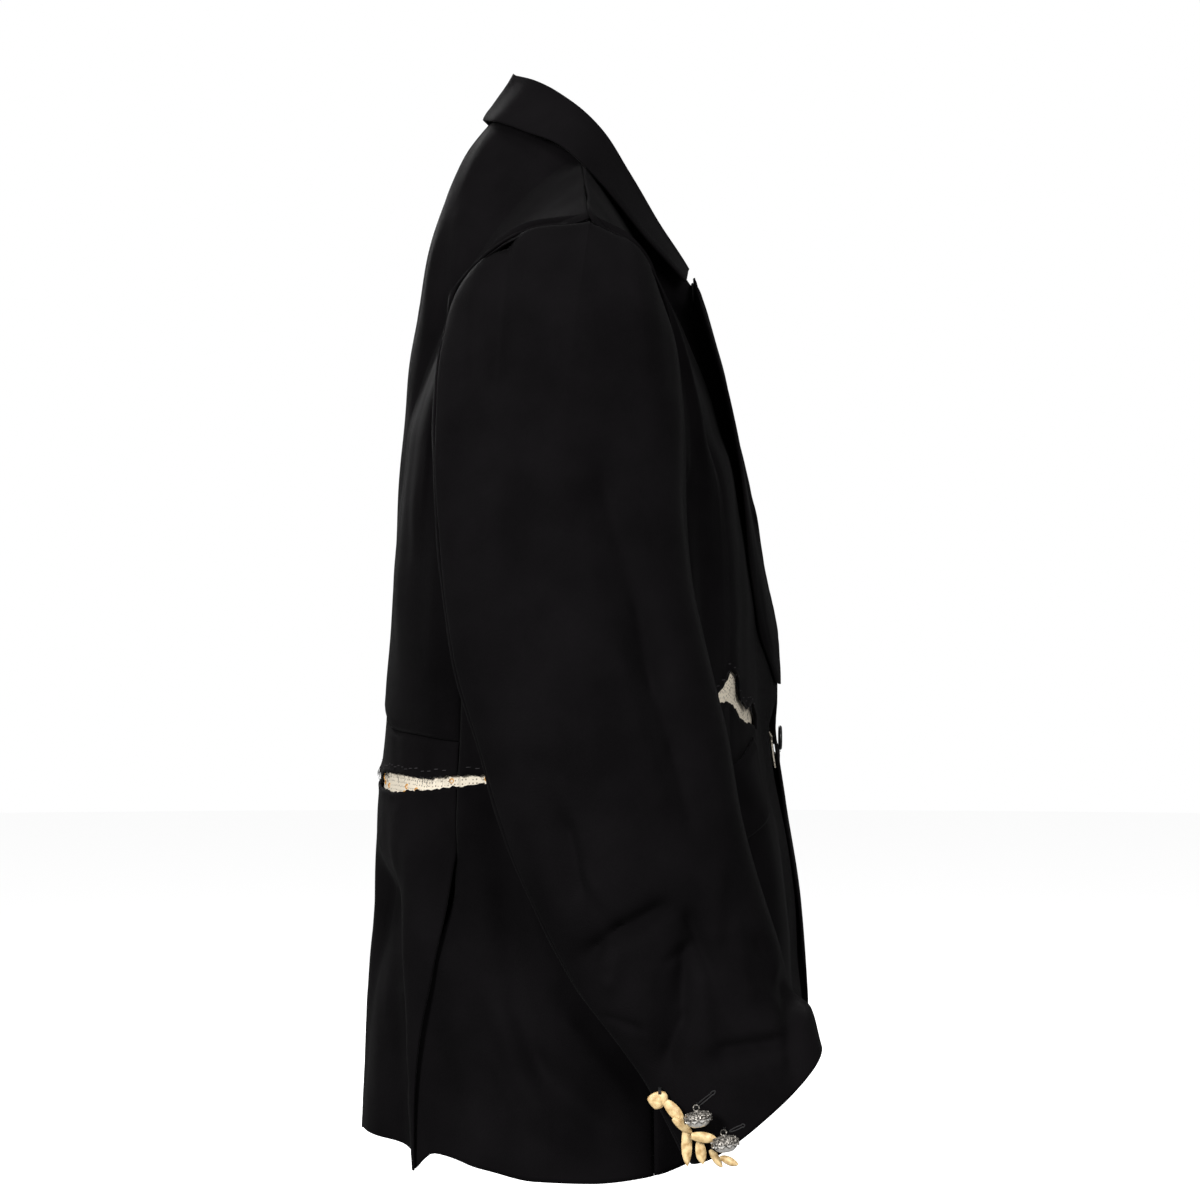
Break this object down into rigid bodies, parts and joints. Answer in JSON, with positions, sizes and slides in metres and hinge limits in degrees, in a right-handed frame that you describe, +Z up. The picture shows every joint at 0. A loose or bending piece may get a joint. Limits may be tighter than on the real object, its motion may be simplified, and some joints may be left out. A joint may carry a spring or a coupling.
{
  "type": "blazer",
  "caption": "Long black wool blazer with peak lapels, torn open along the waist over cream eyelet cloth, with beaded and petalled cuffs.",
  "frame": {"origin": "middle of the neck's base, between the two shoulder seams, where the shoulders carry the jacket", "axes": "+Z up, -Y the way the wearer faces, -X the wearer's right side"},
  "size_m": [0.647, 0.3478, 0.8325],
  "materials": {
    "wool": "matte fine twill",
    "eyelet_cloth": "matte, pierced",
    "bone": "carved, waxed",
    "silver": "polished, dark in its recesses",
    "horn": "polished black"
  },
  "bodies": {
    "root": {"back_upper_right": "wool", "back_upper_left": "wool", "back_skirt_right": "wool", "back_skirt_left": "wool", "side_right": "wool", "side_left": "wool", "front_right": "wool", "front_left": "wool", "sleeve_top_right": "wool", "sleeve_top_left": "wool", "sleeve_under_right": "wool", "sleeve_under_left": "wool", "lapel_right": "wool", "lapel_left": "wool", "flap_right": "wool", "flap_left": "wool", "collar": "wool", "eyelet_back_right": "eyelet_cloth", "eyelet_back_left": "eyelet_cloth", "eyelet_side_right": "eyelet_cloth", "eyelet_side_left": "eyelet_cloth", "eyelet_front_right": "eyelet_cloth", "eyelet_front_left": "eyelet_cloth", "front_button": "horn", "bone_button_right": "bone", "petal_1_right": "bone", "petal_2_right": "bone", "petal_3_right": "bone", "petal_4_right": "bone", "petal_5_right": "bone", "petal_6_right": "bone", "petal_7_right": "bone", "bead_upper_right": "silver", "bead_lower_right": "silver", "bone_button_left": "bone", "petal_1_left": "bone", "petal_2_left": "bone", "petal_3_left": "bone", "petal_4_left": "bone", "petal_5_left": "bone", "petal_6_left": "bone", "petal_7_left": "bone", "bead_upper_left": "silver", "bead_lower_left": "silver"}
  },
  "joints": []
}
